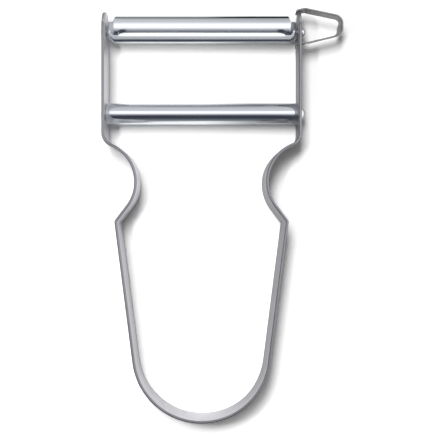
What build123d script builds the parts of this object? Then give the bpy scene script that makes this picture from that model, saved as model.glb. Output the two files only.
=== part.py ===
"""Bow-shaped vegetable peeler with a swinging slotted blade and a potato-eye remover.

Units are millimetres. The peeler lies flat on the lower edge of its bent strip:
+Y runs from the heel of the handle to the blade, +X is to the right, where the eye
remover is, and +Z is up. The origin is on the plane of symmetry of the bow, in the
middle of the strip's lower edge at the heel.
"""

import os
from math import asin, atan2, cos, degrees, radians, sin, sqrt, tan

from build123d import *

# Strip that the bow is bent from
STRIP_WIDTH = 10.0
STRIP_THICKNESS = 0.8
STRIP_EDGE_CHAMFER = 0.15

# Bow, measured on the middle line of the strip
HEEL_RADIUS = 18.44
LEG_FLARE_ANGLE = 7.3
SHOULDER_HEIGHT = 54.2
SHOULDER_RADIUS = 1.2
SHOULDER_RUN_LENGTH = 5.22
NECK_RADIUS = 10.76
NECK_WIDTH = 35.6
ARM_BEND_RADIUS = 3.5
ARM_SPACING = 53.3
ARM_TIP_REACH = 5.6

# Crossbar and its rivets
CROSSBAR_ABOVE_BEND = 5.83
CROSSBAR_DIAMETER = 5.8
CROSSBAR_END_CHAMFER = 0.25
CROSSBAR_RIVET_DIAMETER = 2.4
CROSSBAR_RIVET_DEPTH = 6.0
CROSSBAR_HEAD_DIAMETER = 3.6
CROSSBAR_HEAD_RISE = 0.9

# Blade, measured from its swing axis
BLADE_ABOVE_CROSSBAR = 22.5
BLADE_THICKNESS = 0.5
BLADE_CROWN_RISE = 2.2
BLADE_CROWN_AHEAD = 1.63
BLADE_MAIN_RADIUS = 5.6
BLADE_NOSE_RADIUS = 3.05
BLADE_NOSE_START_ANGLE = 7
BLADE_NOSE_END_ANGLE = 48
BLADE_END_TAPER = 1.55
BLADE_SHOULDER_LENGTH = 0.7
BLADE_SLOT_END_LAND = 1.7
BLADE_SLOT_WIDTH = 1.15
BLADE_SLOT_OFFSET = 0.2
BLADE_SLOT_RAMP = 2.4
BLADE_BEVEL_WIDTH = 0.9
BLADE_EDGE_THICKNESS = 0.08
GUARD_LIP_CLEARANCE = 0.15
GUARD_LAND_HEIGHT = 1.22
GUARD_LAND_LENGTH = 0.78
GUARD_LAND_ANGLE = 14
GUARD_BEND_RADIUS = 1.2
GUARD_BEND_ANGLE = 66
EAR_FRONT_REACH = 2.7
EAR_GUARD_REACH = 1.3
EAR_RADIUS = 1.7
EAR_BEND_RADIUS = 0.35

# Pins that the blade swings on
PIN_DIAMETER = 1.5
PIN_HEAD_DIAMETER = 2.3
PIN_HEAD_RISE = 0.95
PIN_TAIL_DIAMETER = 2.4
PIN_TAIL_LENGTH = 0.55

# Eye remover, bent from a thin narrow strip
EYE_STRIP_WIDTH = 2.5
EYE_STRIP_THICKNESS = 0.45
EYE_REACH = 12.1
EYE_TIP_ABOVE_AXIS = 1.4
EYE_TIP_WIDTH = 5.0
EYE_CORNER_RADIUS = 2.4
EYE_KNEE_REACH = 1.2
EYE_KNEE_RISE = 0.5
EYE_KNEE_RADIUS = 0.9
EYE_FOOT_BELOW_AXIS = 3.3
EYE_FOOT_REACH = 2.4
EYE_BEND_RADIUS = 0.4
EYE_HOOK_LENGTH = 1.7
EYE_CLENCH_LENGTH = 1.3

# Clearances, and how far a cutting body runs past what it cuts
PIN_RUNNING_CLEARANCE = 0.05
EAR_SIDE_CLEARANCE = 0.3
PIN_TAIL_CLEARANCE = 0.15
EYE_SEAT_CLEARANCE = 0.05
CUT_OVERRUN = 1.0

# Places that follow from the sizes above
MID_DEPTH = STRIP_WIDTH / 2
ARM_MIDDLE = ARM_SPACING / 2
ARM_OUTER = ARM_MIDDLE + STRIP_THICKNESS / 2
ARM_INNER = ARM_MIDDLE - STRIP_THICKNESS / 2
EAR_OUTER = ARM_INNER - EAR_SIDE_CLEARANCE
EAR_INNER = EAR_OUTER - BLADE_THICKNESS
BODY_HALF_LENGTH = EAR_OUTER - BLADE_END_TAPER
SLOT_HALF_LENGTH = BODY_HALF_LENGTH - BLADE_SLOT_END_LAND
SLOT_GUARD_REACH = BLADE_SLOT_OFFSET + BLADE_SLOT_WIDTH
NOSE_START = radians(BLADE_NOSE_START_ANGLE)
NOSE_END = radians(BLADE_NOSE_END_ANGLE)
NOSE_SPREAD = BLADE_NOSE_RADIUS * (sin(NOSE_END) - sin(NOSE_START))
BLADE_FRONT_REACH = BLADE_CROWN_AHEAD + BLADE_MAIN_RADIUS * sin(NOSE_START) + NOSE_SPREAD
SIDES = (("left", -1), ("right", 1))

# The handle's leg, from the end of the heel's arc to the corner at the shoulder
FLARE = radians(LEG_FLARE_ANGLE)
LEG_LENGTH = (SHOULDER_HEIGHT - HEEL_RADIUS * (1 - sin(FLARE))) / cos(FLARE)
SHOULDER_X = HEEL_RADIUS * cos(FLARE) + LEG_LENGTH * sin(FLARE)

# The neck's arc is touched by the run from the shoulder and by the arm's bend
NECK_X = NECK_WIDTH / 2 + NECK_RADIUS
BEND_X = ARM_MIDDLE - ARM_BEND_RADIUS
NECK_SPREAD = NECK_X - SHOULDER_X
NECK_RISE = sqrt(SHOULDER_RUN_LENGTH**2 + NECK_RADIUS**2 - NECK_SPREAD**2)
BEND_RISE = sqrt((NECK_RADIUS + ARM_BEND_RADIUS) ** 2 - (NECK_X - BEND_X) ** 2)

# Heights above the heel, each from the one below it
BEND_HEIGHT = SHOULDER_HEIGHT + NECK_RISE + BEND_RISE
CROSSBAR_HEIGHT = BEND_HEIGHT + CROSSBAR_ABOVE_BEND
BLADE_AXIS_HEIGHT = CROSSBAR_HEIGHT + BLADE_ABOVE_CROSSBAR
ARM_TIP_HEIGHT = BLADE_AXIS_HEIGHT + ARM_TIP_REACH
EYE_FOOT_HEIGHT = BLADE_AXIS_HEIGHT - EYE_FOOT_BELOW_AXIS
EYE_TIP_HEIGHT = BLADE_AXIS_HEIGHT + EYE_TIP_ABOVE_AXIS


def write(part, node):
    """Label a finished piece and write it under its node name."""
    part.label = node
    export_step(part, f"parts/{node}.step")


def side_plane(x, height=0):
    """A plane across the peeler at mid depth: it faces +X, its x is +Y and its y is +Z."""
    return Plane(origin=(x, height, MID_DEPTH), x_dir=(0, 1, 0), z_dir=(1, 0, 0))


def pin_plane(side, height):
    """A plane for half a pin's outline: its x runs outward from the arm's outer face."""
    return Plane(origin=(side * ARM_OUTER, height, MID_DEPTH), x_dir=(side, 0, 0), z_dir=(0, 0, 1))


def pin_axis(height):
    """The line across the peeler, at mid depth, that a pin turns about."""
    return Axis((0, height, MID_DEPTH), (1, 0, 0))


def domed_head(head_diameter, rise):
    """Draw a domed head's outline from its rim, on the arm's face, to its top on the axis."""
    rim = head_diameter / 2
    dome_radius = (rim**2 + rise**2) / (2 * rise)
    RadiusArc((0, rim), (rise, 0), dome_radius)


def bow_middle_line():
    """Draw the right half of the strip's middle line, from the heel to past the arm's tip."""
    run_angle = atan2(NECK_RISE, NECK_SPREAD) + atan2(NECK_RADIUS, SHOULDER_RUN_LENGTH)
    crossing_angle = atan2(BEND_RISE, BEND_X - NECK_X) - radians(90)
    shoulder_turn = run_angle - radians(90) + FLARE
    shoulder_cut = SHOULDER_RADIUS * tan(shoulder_turn / 2)

    heel = JernArc((0, 0), (1, 0), HEEL_RADIUS, 90 - LEG_FLARE_ANGLE)
    leg = PolarLine(heel @ 1, LEG_LENGTH - shoulder_cut, 90 - LEG_FLARE_ANGLE)
    shoulder = JernArc(leg @ 1, leg % 1, SHOULDER_RADIUS, degrees(shoulder_turn))
    run = PolarLine(shoulder @ 1, SHOULDER_RUN_LENGTH - shoulder_cut, degrees(run_angle))
    neck = JernArc(run @ 1, run % 1, NECK_RADIUS, degrees(crossing_angle - run_angle))
    bend = JernArc(neck @ 1, neck % 1, ARM_BEND_RADIUS, 90 - degrees(crossing_angle))
    Line(bend @ 1, (ARM_MIDDLE, ARM_TIP_HEIGHT + CUT_OVERRUN))


def make_bow():
    """The one bent strip: handle loop, waisted neck and the two arms."""
    with BuildPart() as bow:
        with BuildSketch():
            with BuildLine():
                bow_middle_line()
                mirror(about=Plane.YZ)
                offset(amount=STRIP_THICKNESS / 2)
            make_face()
        extrude(amount=STRIP_WIDTH)

        # Seen from the side, the strip's two ends are fully round
        end_centre = ARM_TIP_HEIGHT - STRIP_WIDTH / 2
        with BuildSketch(side_plane(0, end_centre)):
            Circle(STRIP_WIDTH / 2)
            Rectangle(end_centre + CUT_OVERRUN, STRIP_WIDTH, align=(Align.MAX, Align.CENTER))
        extrude(amount=ARM_OUTER + CUT_OVERRUN, both=True, mode=Mode.INTERSECT)

        # Every long edge is broken, so that it is kind to the hand
        rims = bow.edges().filter_by(Axis.Z, reverse=True).filter_by(Axis.X, reverse=True)
        chamfer(rims, STRIP_EDGE_CHAMFER)

        with Locations(side_plane(ARM_OUTER, CROSSBAR_HEIGHT)):
            Hole(CROSSBAR_RIVET_DIAMETER / 2)
        with Locations(side_plane(ARM_OUTER, BLADE_AXIS_HEIGHT)):
            Hole(PIN_DIAMETER / 2)

        # The eye remover's foot passes through the right arm
        with BuildSketch(side_plane(ARM_INNER, EYE_FOOT_HEIGHT)):
            Rectangle(EYE_STRIP_THICKNESS + 2 * EYE_SEAT_CLEARANCE,
                      EYE_STRIP_WIDTH + 2 * EYE_SEAT_CLEARANCE)
        extrude(amount=STRIP_THICKNESS, mode=Mode.SUBTRACT)
    return bow.part


def make_crossbar():
    """The round bar between the arms, bored at each end for its rivet."""
    with BuildPart() as crossbar:
        with BuildSketch(side_plane(0, CROSSBAR_HEIGHT)):
            Circle(CROSSBAR_DIAMETER / 2)
        extrude(amount=ARM_INNER, both=True)
        chamfer(crossbar.edges().filter_by(GeomType.CIRCLE), CROSSBAR_END_CHAMFER)
        for _, side in SIDES:
            with BuildSketch(side_plane(side * ARM_INNER, CROSSBAR_HEIGHT)):
                Circle(CROSSBAR_RIVET_DIAMETER / 2)
            extrude(amount=-side * CROSSBAR_RIVET_DEPTH, mode=Mode.SUBTRACT)
    return crossbar.part


def make_crossbar_rivet(side):
    """One domed rivet, from outside an arm into the end of the bar."""
    shank = CROSSBAR_RIVET_DIAMETER / 2
    inner_end = -STRIP_THICKNESS - CROSSBAR_RIVET_DEPTH
    with BuildPart() as rivet:
        with BuildSketch(pin_plane(side, CROSSBAR_HEIGHT)):
            with BuildLine():
                Polyline((CROSSBAR_HEAD_RISE, 0), (inner_end, 0), (inner_end, shank), (0, shank),
                         (0, CROSSBAR_HEAD_DIAMETER / 2))
                domed_head(CROSSBAR_HEAD_DIAMETER, CROSSBAR_HEAD_RISE)
            make_face()
        revolve(axis=pin_axis(CROSSBAR_HEIGHT))
    return rivet.part


def make_blade_pin(side):
    """One pin through an arm and a blade ear, with a domed head and a riveted tail."""
    shank = PIN_DIAMETER / 2
    tail = PIN_TAIL_DIAMETER / 2
    tail_start = EAR_INNER - PIN_TAIL_CLEARANCE - ARM_OUTER
    tail_end = tail_start - PIN_TAIL_LENGTH
    with BuildPart() as pin:
        with BuildSketch(pin_plane(side, BLADE_AXIS_HEIGHT)):
            with BuildLine():
                Polyline((PIN_HEAD_RISE, 0), (tail_end, 0), (tail_end, tail), (tail_start, tail),
                         (tail_start, shank), (0, shank), (0, PIN_HEAD_DIAMETER / 2))
                domed_head(PIN_HEAD_DIAMETER, PIN_HEAD_RISE)
            make_face()
        revolve(axis=pin_axis(BLADE_AXIS_HEIGHT))
    return pin.part


def front_curve(inset):
    """Draw the front sheet's two arcs at one depth below its skin, from the slot to the nose."""
    centre = (BLADE_CROWN_AHEAD, BLADE_CROWN_RISE - BLADE_MAIN_RADIUS)
    step = BLADE_MAIN_RADIUS - BLADE_NOSE_RADIUS
    nose_centre = (centre[0] + step * sin(NOSE_START), centre[1] + step * cos(NOSE_START))
    back_angle = degrees(asin((SLOT_GUARD_REACH + BLADE_CROWN_AHEAD) / BLADE_MAIN_RADIUS))
    nose_sweep = BLADE_NOSE_END_ANGLE - BLADE_NOSE_START_ANGLE
    main = CenterArc(centre, BLADE_MAIN_RADIUS - inset, 90 + back_angle,
                     -back_angle - BLADE_NOSE_START_ANGLE)
    nose = CenterArc(nose_centre, BLADE_NOSE_RADIUS - inset, 90 - BLADE_NOSE_START_ANGLE,
                     -nose_sweep)
    return main, nose


def front_rise(y):
    """The height of the front sheet's skin over one y of its main arc."""
    along = y - BLADE_CROWN_AHEAD
    return BLADE_CROWN_RISE - BLADE_MAIN_RADIUS + sqrt(BLADE_MAIN_RADIUS**2 - along**2)


def blade_outline():
    """Draw the blade in plan: a long body whose ends taper to the narrower ears."""
    front = BLADE_AXIS_HEIGHT + BLADE_FRONT_REACH + BLADE_THICKNESS
    guard = BLADE_AXIS_HEIGHT - SLOT_GUARD_REACH - GUARD_LAND_LENGTH - GUARD_BEND_RADIUS
    ear_front = BLADE_AXIS_HEIGHT + EAR_FRONT_REACH
    ear_guard = BLADE_AXIS_HEIGHT - EAR_GUARD_REACH
    shoulder = BODY_HALF_LENGTH + BLADE_SHOULDER_LENGTH
    Polyline((0, front), (BODY_HALF_LENGTH, front), (shoulder, ear_front), (EAR_OUTER, ear_front),
             (EAR_OUTER, ear_guard), (EAR_INNER, ear_guard), (BODY_HALF_LENGTH, guard), (0, guard))


def slot_outline(inset):
    """Draw the right half of the slot: straight guard side, cutting side curved in at its end."""
    guard = BLADE_AXIS_HEIGHT - SLOT_GUARD_REACH
    cutting = guard + BLADE_SLOT_WIDTH - inset
    ramp = SLOT_HALF_LENGTH - BLADE_SLOT_RAMP
    Polyline((0, cutting), (0, guard), (SLOT_HALF_LENGTH - inset, guard))
    EllipticalCenterArc((ramp, guard), BLADE_SLOT_RAMP - inset, BLADE_SLOT_WIDTH - inset,
                        arc_size=90)
    Line((ramp, cutting), (0, cutting))


def guard_curve():
    """Draw the guard's middle line: its land beside the slot, then its rolled edge."""
    half = BLADE_THICKNESS / 2
    land_start = (-SLOT_GUARD_REACH, GUARD_LAND_HEIGHT - half)
    land = PolarLine(land_start, GUARD_LAND_LENGTH, 180 + GUARD_LAND_ANGLE)
    JernArc(land @ 1, land % 1, GUARD_BEND_RADIUS - half, GUARD_BEND_ANGLE)


def make_guard_lip():
    """The flat lip that the guard holds out under the slot's cutting edge."""
    half = BLADE_THICKNESS / 2
    with BuildPart() as lip:
        with BuildSketch(side_plane(0, BLADE_AXIS_HEIGHT)):
            with Locations((-SLOT_GUARD_REACH, GUARD_LAND_HEIGHT - half)):
                Rectangle(2 * BLADE_SLOT_WIDTH, BLADE_THICKNESS)
        extrude(amount=SLOT_HALF_LENGTH, both=True)
        with BuildSketch(Plane.XY.offset(MID_DEPTH)):
            with BuildLine():
                slot_outline(GUARD_LIP_CLEARANCE)
            make_face()
            mirror(about=Plane.YZ)
            with Locations((0, BLADE_AXIS_HEIGHT - SLOT_GUARD_REACH)):
                Rectangle(2 * SLOT_HALF_LENGTH - 2 * GUARD_LIP_CLEARANCE, BLADE_THICKNESS,
                          align=(Align.CENTER, Align.MAX))
        extrude(amount=STRIP_WIDTH, both=True, mode=Mode.INTERSECT)
    return lip.part


def make_blade():
    """The swivel blade: a curved slotted sheet with an ear bent down at each end."""
    half = BLADE_THICKNESS / 2
    with BuildPart() as blade:
        with BuildSketch(side_plane(0, BLADE_AXIS_HEIGHT)):
            with BuildLine():
                front_curve(half)
                offset(amount=half)
            make_face()
            with BuildLine():
                guard_curve()
                offset(amount=half)
            make_face()
        extrude(amount=EAR_OUTER, both=True)

        # In plan the ends taper
        with BuildSketch(Plane.XY.offset(MID_DEPTH)):
            with BuildLine():
                blade_outline()
                mirror(about=Plane.YZ)
            make_face()
        extrude(amount=STRIP_WIDTH, both=True, mode=Mode.INTERSECT)

        # The slot parts the front sheet from the guard, whose lip lies lower than the edge
        with BuildSketch(Plane.XY.offset(MID_DEPTH)):
            with BuildLine():
                slot_outline(0)
            make_face()
            mirror(about=Plane.YZ)
        extrude(amount=STRIP_WIDTH, both=True, mode=Mode.SUBTRACT)
        add(make_guard_lip())

        # The slot's front lip is ground from below to the cutting edge
        edge = -BLADE_SLOT_OFFSET
        heel = edge + BLADE_BEVEL_WIDTH
        with BuildSketch(side_plane(0, BLADE_AXIS_HEIGHT)):
            Polygon((edge, front_rise(edge) - BLADE_EDGE_THICKNESS),
                    (heel, front_rise(heel) - BLADE_THICKNESS),
                    (edge, front_rise(heel) - 2 * BLADE_THICKNESS), align=None)
        extrude(amount=SLOT_HALF_LENGTH - BLADE_SLOT_RAMP, both=True, mode=Mode.SUBTRACT)

        # Each ear hangs from inside the sheet to round the swing axis
        ear_front = EAR_FRONT_REACH - half
        ear_guard = half - EAR_GUARD_REACH
        for _, side in SIDES:
            with BuildSketch(side_plane(side * EAR_OUTER, BLADE_AXIS_HEIGHT)):
                with BuildLine():
                    CenterArc((0, 0), EAR_RADIUS, 0, 360)
                    Line((ear_guard, front_rise(ear_guard) - half),
                         (ear_front, front_rise(ear_front) - half))
                make_hull()
            extrude(amount=-side * BLADE_THICKNESS)

        # The sheet turns down into each ear over a round bend
        ear_faces = blade.faces().filter_by(Axis.X).group_by(Axis.X)
        for ends in (ear_faces[0], ear_faces[-1]):
            fillet(ends.edges().sort_by(Axis.Z)[-2:], EAR_BEND_RADIUS)
        with Locations(side_plane(EAR_OUTER, BLADE_AXIS_HEIGHT)):
            Hole(PIN_DIAMETER / 2 + PIN_RUNNING_CLEARANCE)
    return blade.part


def make_eye_remover():
    """The thin strip loop: hooked over the right arm's tip, its foot clenched inside the arm."""
    half = EYE_STRIP_THICKNESS / 2
    inside = ARM_INNER - half - EYE_SEAT_CLEARANCE
    tip = ARM_OUTER + EYE_REACH - half
    hook_top = ARM_TIP_HEIGHT + half
    with BuildPart() as eye_remover:
        with BuildSketch(Plane.XY.offset(MID_DEPTH)):
            with BuildLine():
                FilletPolyline(
                    (inside, hook_top - EYE_HOOK_LENGTH),
                    (inside, hook_top),
                    (ARM_OUTER + EYE_KNEE_REACH, hook_top + EYE_KNEE_RISE),
                    (tip, EYE_TIP_HEIGHT + EYE_TIP_WIDTH / 2),
                    (tip, EYE_TIP_HEIGHT - EYE_TIP_WIDTH / 2),
                    (ARM_OUTER + EYE_FOOT_REACH, EYE_FOOT_HEIGHT),
                    (inside, EYE_FOOT_HEIGHT),
                    (inside, EYE_FOOT_HEIGHT - EYE_CLENCH_LENGTH),
                    radius=(EYE_BEND_RADIUS, EYE_KNEE_RADIUS, EYE_CORNER_RADIUS,
                            EYE_CORNER_RADIUS, EYE_KNEE_RADIUS, EYE_BEND_RADIUS),
                )
                offset(amount=half)
            make_face()
        extrude(amount=EYE_STRIP_WIDTH / 2, both=True)
    return eye_remover.part


os.makedirs("parts", exist_ok=True)
write(make_bow(), "bow")
write(make_crossbar(), "crossbar")
write(make_blade(), "blade")
write(make_eye_remover(), "eye_remover")
for side_name, side_sign in SIDES:
    write(make_crossbar_rivet(side_sign), f"crossbar_rivet_{side_name}")
    write(make_blade_pin(side_sign), f"blade_pin_{side_name}")
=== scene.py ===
"""Dressed model of a bow-shaped vegetable peeler that lies flat under a soft studio light.

Sizes are dataclass fields in millimetres, apart from the table's half width and the panels'
places and sizes, which are in metres. The peeler's sizes are estimates: only its proportions
come from the photograph.
"""

from __future__ import annotations

import logging
import math
from dataclasses import dataclass
from enum import Enum

import bmesh
import bpy
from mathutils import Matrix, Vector

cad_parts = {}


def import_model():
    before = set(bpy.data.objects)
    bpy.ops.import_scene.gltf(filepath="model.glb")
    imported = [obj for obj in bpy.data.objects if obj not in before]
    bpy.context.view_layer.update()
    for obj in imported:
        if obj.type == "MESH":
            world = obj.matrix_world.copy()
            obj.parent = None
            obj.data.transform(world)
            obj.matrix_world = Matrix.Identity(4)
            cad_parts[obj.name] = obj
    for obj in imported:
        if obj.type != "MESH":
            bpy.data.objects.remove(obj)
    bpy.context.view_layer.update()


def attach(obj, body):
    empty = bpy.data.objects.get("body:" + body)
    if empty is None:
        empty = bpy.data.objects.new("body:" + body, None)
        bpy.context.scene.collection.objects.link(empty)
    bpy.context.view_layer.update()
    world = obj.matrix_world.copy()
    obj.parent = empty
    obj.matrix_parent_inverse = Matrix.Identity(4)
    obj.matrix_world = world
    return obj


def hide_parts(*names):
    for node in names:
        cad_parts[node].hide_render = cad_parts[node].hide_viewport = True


LOG = logging.getLogger("peeler")
MM = 0.001
PHOTO_WIDTH = 440.0
SMOOTH_ANGLE = math.radians(32)

# Vertices closer than the first two are merged, and edges shorter than the last dissolved
MERGE_DISTANCE = 0.0005
STRIP_MERGE_DISTANCE = 0.0001
SLIVER_LENGTH = 0.0002

# Places that several pieces share
MID_DEPTH = 5.0
ARM_INNER = 26.25
ARM_OUTER = 27.05
ARM_TIP = 111.75
SWING_AXIS = 106.4

# A domed head's rim is a little smaller at its foot, and straight from half its height
RIM_FOOT_SHARE = 0.97
RIM_HEIGHT_SHARE = 0.5
DOME_STEPS = 14

Point = tuple[float, float, float]
Colour = tuple[float, float, float]
Pair = tuple[float, float]
Outline = list[Pair]
# A corner's x, y and radius
Corner = tuple[float, float, float]
# A station's x before the ear's bend, its turn over the bend and its share down the ear
Station = tuple[float, float, float]
# A row's y, height and lean where the sheet lies flat
Row = tuple[float, float, float]


class Body(Enum):
    """The rigid bodies that pieces ride on."""

    HANDLE = "handle"
    BLADE = "blade"


class Pattern(Enum):
    """What a finish's grain follows."""

    OBJECT = "object"
    STRIP = "strip"


class Side(Enum):
    """One side of the peeler, with the sign of its x."""

    LEFT = -1
    RIGHT = 1

    @property
    def label(self) -> str:
        """The side's name, as it ends a node's name."""
        return self.name.lower()


# In the photograph every head stands up about 1.5 mm. The left ones stop short of that here,
# because the part's own box ends beside them
HEAD_RISE = {Side.LEFT: 0.93, Side.RIGHT: 1.5}


def clamp(value: float) -> float:
    """Hold a share between 0 and 1."""
    return min(1.0, max(0.0, value))


def ease(share: float) -> float:
    """Slow a share down near 0 and near 1."""
    return share * share * (3 - 2 * share)


def steps(start: float, stop: float, count: int) -> list[float]:
    """List the ends of equal steps from a start, itself left out, up to a stop."""
    return [start + (stop - start) * i / count for i in range(1, count + 1)]


class Graph:
    """A short way to write a node tree: each call adds one node."""

    column_width: int = 220

    def __init__(self, tree: bpy.types.NodeTree) -> None:
        """Start on an emptied node tree.

        Args:
            tree: The tree that the nodes go into.
        """
        self.tree = tree
        self.column = 0
        tree.nodes.clear()

    def add(self, kind: str, inputs: dict | None = None, **settings: object) -> bpy.types.Node:
        """Add one node.

        Args:
            kind: The node's type name.
            inputs: Values or output sockets by the input's name or number.
            settings: The node's own properties.

        Returns:
            The new node.
        """
        node = self.tree.nodes.new(kind)
        node.location = (self.column_width * self.column, 0)
        self.column += 1
        for name, value in settings.items():
            setattr(node, name, value)
        for name, value in (inputs or {}).items():
            if isinstance(value, bpy.types.NodeSocket):
                self.tree.links.new(value, node.inputs[name])
            else:
                node.inputs[name].default_value = value
        return node

    def math(self, operation: str, *values: object) -> bpy.types.NodeSocket:
        """Work out one sum of values or sockets, and return its socket."""
        return self.add("ShaderNodeMath", dict(enumerate(values)), operation=operation).outputs[0]

    def span(self, value: object, start: float, stop: float, low: float = 0.0, high: float = 1.0,
             curve: str = "LINEAR") -> bpy.types.NodeSocket:
        """Turn one range of a value into another, held at both ends, and return its socket."""
        return self.add("ShaderNodeMapRange", {
            "Value": value, "From Min": start, "From Max": stop, "To Min": low, "To Max": high},
            interpolation_type=curve).outputs[0]

    def blend(self, share: object, first: object, second: object) -> bpy.types.NodeSocket:
        """Mix two colours by the second one's share, and return the mixture's socket."""
        # A Mix node has one set of sockets for each kind of value, and these are the colours
        return self.add("ShaderNodeMix", {0: share, 6: first, 7: second},
                        data_type="RGBA").outputs[2]

    def between(self, share: object, first: object, second: object) -> bpy.types.NodeSocket:
        """Mix two numbers by the second one's share, and return the mixture's socket."""
        return self.add("ShaderNodeMix", {0: share, 2: first, 3: second},
                        data_type="FLOAT").outputs[0]


@dataclass(frozen=True)
class MetalFinish:
    """A bare metal surface: its colour, how sharp its reflections are, its grain and its smudges."""

    name: str
    slot: str
    colour: Colour
    worn_colour: Colour
    roughness: float
    roughness_spread: float
    grain: Point
    grain_depth: float
    smudge_scale: float = 60.0
    pattern: Pattern = Pattern.OBJECT
    # The stretch of each noise that shows
    grain_range: Pair = (0.3, 0.7)
    smudge_range: Pair = (0.35, 0.75)
    wear_range: Pair = (0.52, 0.72)
    # Half the width of a strip with sheared edges, and how far inside them the dulling and the painted
    # shade start and are full
    edge_half: float = 0.0
    edge_soft: float = 0.35
    edge_full: float = 0.08
    # The edges' darker colour is painted shade; their higher roughness is the sheared edges' own
    edge_shade_colour: Colour = (0.27, 0.27, 0.28)
    edge_roughness: float = 0.36

    def build(self) -> bpy.types.Material:
        """Make the material.

        Returns:
            A metal material with brushed grain, smudges and fine scratches.
        """
        material = bpy.data.materials.new(self.name)
        material.use_nodes = True
        graph = Graph(material.node_tree)
        if self.pattern is Pattern.STRIP:
            place = graph.add("ShaderNodeAttribute", attribute_name="strip_place").outputs["Vector"]
        else:
            place = graph.add("ShaderNodeTexCoord").outputs["Object"]

        stretched = graph.add("ShaderNodeMapping", {"Vector": place, "Scale": self.grain})
        grain = graph.add("ShaderNodeTexNoise", {
            "Vector": stretched.outputs[0], "Scale": 1000.0, "Detail": 4.0, "Roughness": 0.6})
        smudge = graph.add("ShaderNodeTexNoise", {
            "Vector": place, "Scale": self.smudge_scale, "Detail": 3.0, "Roughness": 0.55})
        scratch = graph.add("ShaderNodeTexNoise", {
            "Vector": stretched.outputs[0], "Scale": 350.0, "Detail": 6.0, "Distortion": 0.4})

        spread = self.roughness_spread
        grained = graph.span(grain.outputs[0], *self.grain_range, self.roughness - spread,
                             self.roughness + spread)
        smudged = graph.span(smudge.outputs[0], *self.smudge_range, -spread / 2, spread)
        roughness = graph.math("ADD", grained, smudged)
        wear = graph.span(scratch.outputs[0], *self.wear_range)
        shown = graph.blend(wear, (*self.colour, 1), (*self.worn_colour, 1))
        # A strip's sheared edges get a higher roughness, and painted shade darkens their colour
        if self.edge_half > 0:
            shown, roughness = self.dull_and_shade_edges(graph, shown, roughness)
        bump = graph.add("ShaderNodeBump", {
            "Height": grain.outputs[0], "Distance": self.grain_depth * MM, "Strength": 0.5})
        shader = graph.add("ShaderNodeBsdfPrincipled", {
            "Base Color": shown, "Roughness": roughness, "Metallic": 1.0,
            "Normal": bump.outputs[0]})
        graph.add("ShaderNodeOutputMaterial", {"Surface": shader.outputs[0]})
        return material

    def dull_and_shade_edges(self, graph: Graph, colour: bpy.types.NodeSocket,
                    roughness: bpy.types.NodeSocket,
                    ) -> tuple[bpy.types.NodeSocket, bpy.types.NodeSocket]:
        """Make the sheared edges of a strip duller than its rolled faces, and darken their colour as
        painted shade.

        Args:
            graph: The material's graph.
            colour: The faces' colour.
            roughness: The faces' roughness.

        Returns:
            The colour and the roughness with the edges in them.
        """
        place = graph.add("ShaderNodeTexCoord").outputs["Object"]
        height = graph.add("ShaderNodeSeparateXYZ", {0: place}).outputs["Z"]
        middle = graph.math("ABSOLUTE", graph.math("SUBTRACT", height, MID_DEPTH * MM))
        edge = graph.span(middle, (self.edge_half - self.edge_soft) * MM,
                          (self.edge_half - self.edge_full) * MM, curve="SMOOTHSTEP")
        # The edges' colour is darkened as painted shade, and their roughness is raised
        return (graph.blend(edge, colour, (*self.edge_shade_colour, 1)),
                graph.between(edge, roughness, self.edge_roughness))


# Both strips' edges, within edge_half of their middle, are darkened with painted shade
SATIN_STRIP = MetalFinish(
    "satin_strip", "bow_strip", colour=(0.60, 0.595, 0.62), worn_colour=(0.50, 0.50, 0.52),
    roughness=0.48, roughness_spread=0.06, grain=(0.06, 2.2, 2.2), grain_depth=0.006,
    pattern=Pattern.STRIP, edge_half=5.0)
POLISHED_BAR = MetalFinish(
    "polished_bar", "crossbar", colour=(0.72, 0.745, 0.77), worn_colour=(0.60, 0.63, 0.66),
    roughness=0.13, roughness_spread=0.04, grain=(0.05, 1.6, 1.6), grain_depth=0.002)
POLISHED_BLADE = MetalFinish(
    "polished_blade", "blade", colour=(0.74, 0.765, 0.785), worn_colour=(0.64, 0.67, 0.69),
    roughness=0.15, roughness_spread=0.04, grain=(0.05, 2.0, 2.0), grain_depth=0.002)
RIVET_DOME = MetalFinish(
    "rivet_dome", "rivet", colour=(0.70, 0.70, 0.72), worn_colour=(0.56, 0.56, 0.58),
    roughness=0.22, roughness_spread=0.05, grain=(0.8, 0.8, 0.8), grain_depth=0.004)
PIN_DOME = MetalFinish(
    "pin_dome", "pin", colour=(0.68, 0.69, 0.71), worn_colour=(0.54, 0.55, 0.57),
    roughness=0.20, roughness_spread=0.05, grain=(0.8, 0.8, 0.8), grain_depth=0.004)
SATIN_LOOP = MetalFinish(
    "satin_loop", "eye_strip", colour=(0.62, 0.62, 0.63), worn_colour=(0.48, 0.48, 0.49),
    roughness=0.28, roughness_spread=0.06, grain=(0.06, 2.2, 2.2), grain_depth=0.004,
    pattern=Pattern.STRIP, edge_half=1.8, edge_shade_colour=(0.25, 0.25, 0.26))


def add_object(name: str, data: bpy.types.ID) -> bpy.types.Object:
    """Put data in the scene.

    Args:
        name: The new object's name.
        data: Its mesh, lamp or camera.

    Returns:
        The object, at the origin.
    """
    added = bpy.data.objects.new(name, data)
    bpy.context.scene.collection.objects.link(added)
    return added


def make_piece(name: str, mesh: bpy.types.Mesh, material: bpy.types.Material) -> bpy.types.Object:
    """Put a finished mesh in the scene.

    Args:
        name: The piece's name.
        mesh: Its mesh, already in place, in metres.
        material: Its finish.

    Returns:
        The new object, at the origin.
    """
    piece = add_object(name, mesh)
    mesh.materials.clear()
    mesh.materials.append(material)
    for polygon in mesh.polygons:
        polygon.use_smooth = True
        polygon.material_index = 0
    mesh.set_sharp_from_angle(angle=SMOOTH_ANGLE)
    return piece


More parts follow.
